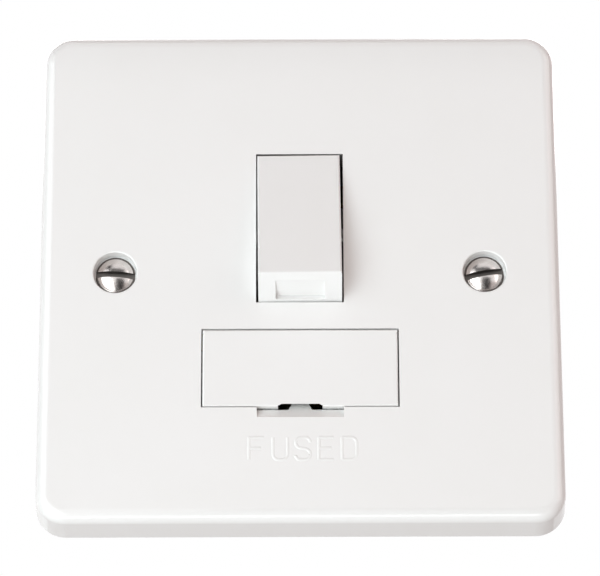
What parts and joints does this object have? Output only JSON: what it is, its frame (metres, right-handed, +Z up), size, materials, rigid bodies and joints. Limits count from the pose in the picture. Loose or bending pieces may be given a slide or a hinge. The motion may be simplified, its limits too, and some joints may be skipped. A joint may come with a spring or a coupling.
{
  "type": "fused spur unit",
  "caption": "Single-gang switched fused connection unit: square white plate with a rocker switch, a pull-out fuse carrier, slotted fixing screws and rear screw terminals.",
  "frame": {"origin": "middle of the plate's back plane, on the line of the two fixing screws", "axes": "+X to the right as seen from the front, +Z up, +Y into the wall, so the front faces -Y"},
  "size_m": [0.0856, 0.0359, 0.0856],
  "materials": {
    "white_moulding": "gloss",
    "grey_moulding": "satin",
    "nylon": "satin",
    "spring_steel": "satin",
    "copper_alloy": "satin",
    "silver": "satin",
    "terminal_brass": "satin",
    "screw_brass": "satin",
    "fuse_ceramic": "satin",
    "plated_cap": "satin",
    "bright_plate": "polished",
    "plain_steel": "satin"
  },
  "bodies": {
    "housing": {"front_plate": "white_moulding", "rear_moulding": "grey_moulding", "fixed_contact_tips": "silver", "live_fixed_contact": "copper_alloy", "neutral_fixed_contact": "copper_alloy", "live_saddle_strip": "copper_alloy", "neutral_saddle_strip": "copper_alloy", "fused_live_strip": "copper_alloy", "earth_strap": "copper_alloy", "supply_fuse_clip": "copper_alloy", "load_fuse_clip": "copper_alloy", "fixing_screws": "bright_plate", "assembly_screws": "plain_steel", "terminal_screws": "screw_brass", "upper_earth_terminal": "terminal_brass", "supply_live_terminal": "terminal_brass", "supply_neutral_terminal": "terminal_brass", "lower_earth_terminal": "terminal_brass", "load_neutral_terminal": "terminal_brass", "load_live_terminal": "terminal_brass"},
    "rocker": {"rocker": "white_moulding", "live_plunger_spring": "spring_steel", "neutral_plunger_spring": "spring_steel"},
    "live_plunger": {"live_plunger": "nylon"},
    "neutral_plunger": {"neutral_plunger": "nylon"},
    "live_contact": {"live_blade": "copper_alloy", "live_blade_tip": "silver"},
    "neutral_contact": {"neutral_blade": "copper_alloy", "neutral_blade_tip": "silver"},
    "fuse_carrier": {"fuse_carrier": "white_moulding", "fuse_barrel": "fuse_ceramic", "fuse_caps": "plated_cap"}
  },
  "joints": [
    {"name": "rocker_tilt", "type": "hinge", "parent": "housing", "child": "rocker", "pos_m": [0, -0.0035, 0.00775], "axis": [1, 0, 0], "range_deg": [0, 24]},
    {"name": "live_contact_tilt", "type": "hinge", "parent": "housing", "child": "live_contact", "pos_m": [-0.003, 0.0047, 0.00775], "axis": [1, 0, 0], "range_deg": [-20, 0]},
    {"name": "live_plunger_slide", "type": "slide", "parent": "rocker", "child": "live_plunger", "axis": [0, -0.9781, 0.2079], "range_m": [0, 0.0006], "stiffness_N_per_m": 250, "springref_m": -0.003, "deforming": ["live_plunger_spring"]},
    {"name": "neutral_contact_tilt", "type": "hinge", "parent": "housing", "child": "neutral_contact", "pos_m": [0.003, 0.0047, 0.00775], "axis": [1, 0, 0], "range_deg": [-20, 0]},
    {"name": "neutral_plunger_slide", "type": "slide", "parent": "rocker", "child": "neutral_plunger", "axis": [0, -0.9781, 0.2079], "range_m": [0, 0.0006], "stiffness_N_per_m": 250, "springref_m": -0.003, "deforming": ["neutral_plunger_spring"]},
    {"name": "carrier_slide", "type": "slide", "parent": "housing", "child": "fuse_carrier", "axis": [0, -1, 0], "range_m": [0, 0.0122]}
  ],
  "couplings": [
    {"joint": "live_contact_tilt", "follows": "rocker_tilt", "ratio": -0.83333},
    {"joint": "neutral_contact_tilt", "follows": "rocker_tilt", "ratio": -0.83333}
  ]
}
